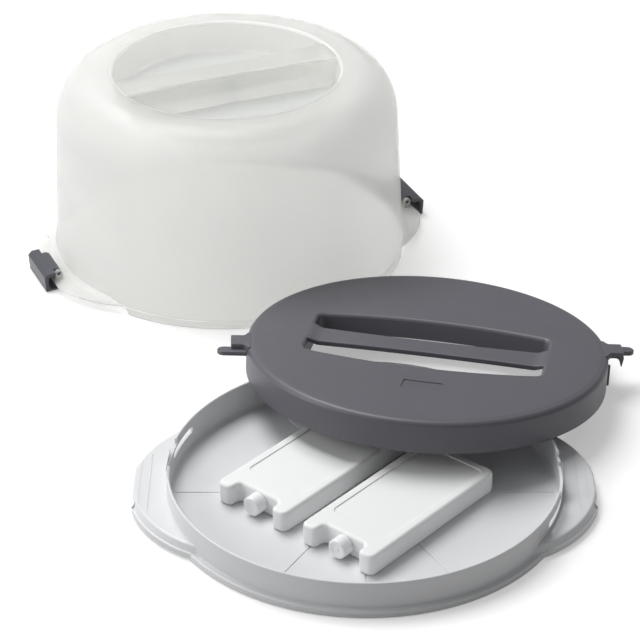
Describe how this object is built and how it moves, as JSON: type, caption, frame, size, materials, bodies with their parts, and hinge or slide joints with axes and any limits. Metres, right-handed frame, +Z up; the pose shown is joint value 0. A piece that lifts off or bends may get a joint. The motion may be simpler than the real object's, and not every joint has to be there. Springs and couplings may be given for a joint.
{
  "type": "cake carrier",
  "caption": "Round cake carrier taken apart: tray with ice packs, a chilling disc leaning on its rim, and a translucent dome with hinged side latches.",
  "frame": {"origin": "centre of the tray's underside, on the table that all the pieces stand on", "axes": "+X from the tray's centre towards its right ear, +Y towards the dome, +Z up"},
  "size_m": [0.5632, 0.784, 0.188],
  "materials": {
    "tray": "light grey moulded plastic, satin to gloss",
    "pack": "white blow-moulded plastic with a fine texture",
    "cap": "white moulded plastic",
    "coolant": "pale gel, not seen",
    "disc": "warm grey moulded plastic, fine satin texture",
    "dome": "frosted translucent moulded plastic",
    "latch": "dark grey moulded plastic, satin"
  },
  "bodies": {
    "tray": {"tray": "tray"},
    "pack_left": {"pack_left_shell": "pack", "pack_left_plug": "cap", "pack_left_coolant": "coolant"},
    "pack_right": {"pack_right_shell": "pack", "pack_right_plug": "cap", "pack_right_coolant": "coolant"},
    "disc": {"disc": "disc"},
    "dome": {"dome": "dome"},
    "latch_left": {"latch_left": "latch"},
    "latch_right": {"latch_right": "latch"}
  },
  "joints": [
    {"name": "disc_lift", "type": "slide", "parent": "tray", "child": "disc", "axis": [0, 0, 1], "range_m": [0, 0.2]},
    {"name": "pack_left_lift", "type": "slide", "parent": "tray", "child": "pack_left", "axis": [0, 0, 1], "range_m": [0, 0.12]},
    {"name": "pack_right_lift", "type": "slide", "parent": "tray", "child": "pack_right", "axis": [0, 0, 1], "range_m": [0, 0.12]},
    {"name": "dome_lift", "type": "slide", "parent": "tray", "child": "dome", "axis": [0, 0, 1], "range_m": [0, 0.25]},
    {"name": "latch_right_hinge", "type": "hinge", "parent": "dome", "child": "latch_right", "pos_m": [0.04263, 0.51533, 0.0148], "axis": [0.3987, -0.9171, 0], "range_deg": [0, 110]},
    {"name": "latch_left_hinge", "type": "hinge", "parent": "dome", "child": "latch_left", "pos_m": [-0.29485, 0.36859, 0.0148], "axis": [-0.3987, 0.9171, 0], "range_deg": [0, 110]}
  ],
  "couplings": [
    {"joint": "pack_left_lift", "follows": "disc_lift", "ratio": 0.6},
    {"joint": "pack_right_lift", "follows": "disc_lift", "ratio": 0.6}
  ]
}
